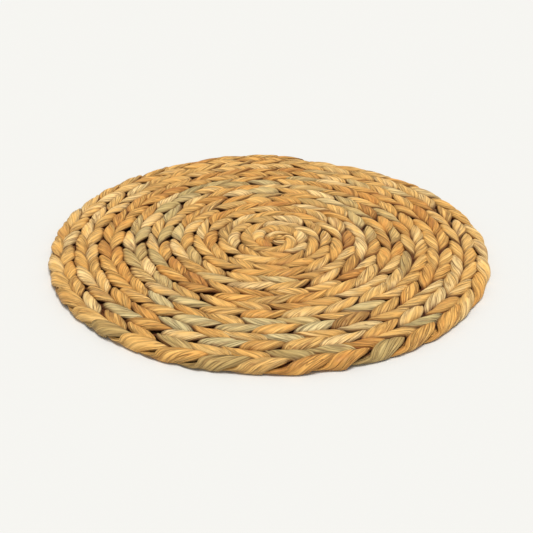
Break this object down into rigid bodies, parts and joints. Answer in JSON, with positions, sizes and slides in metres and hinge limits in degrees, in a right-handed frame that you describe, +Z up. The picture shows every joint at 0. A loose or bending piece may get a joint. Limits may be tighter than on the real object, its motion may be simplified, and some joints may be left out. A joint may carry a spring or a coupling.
{
  "type": "round placemat",
  "caption": "Round table mat of one flat three-strand braid of dried natural stalks, coiled from the middle outwards and joined row to row, with a scalloped rim.",
  "frame": {"origin": "middle of the mat's bounding box, on the flat underside that lies on the table", "axes": "+Z up out of the table, normal to the mat. +X right and +Y away from the viewer as in the picture, where the tail of the braid is at the far edge, a little right of the middle"},
  "size_m": [0.3616, 0.367, 0.01],
  "materials": {
    "straw": "dry, matte to slightly silky plant stalks, golden tan with brown and grey-green ones among them"
  },
  "bodies": {
    "root": {"coiled_braid": "straw"}
  },
  "joints": []
}
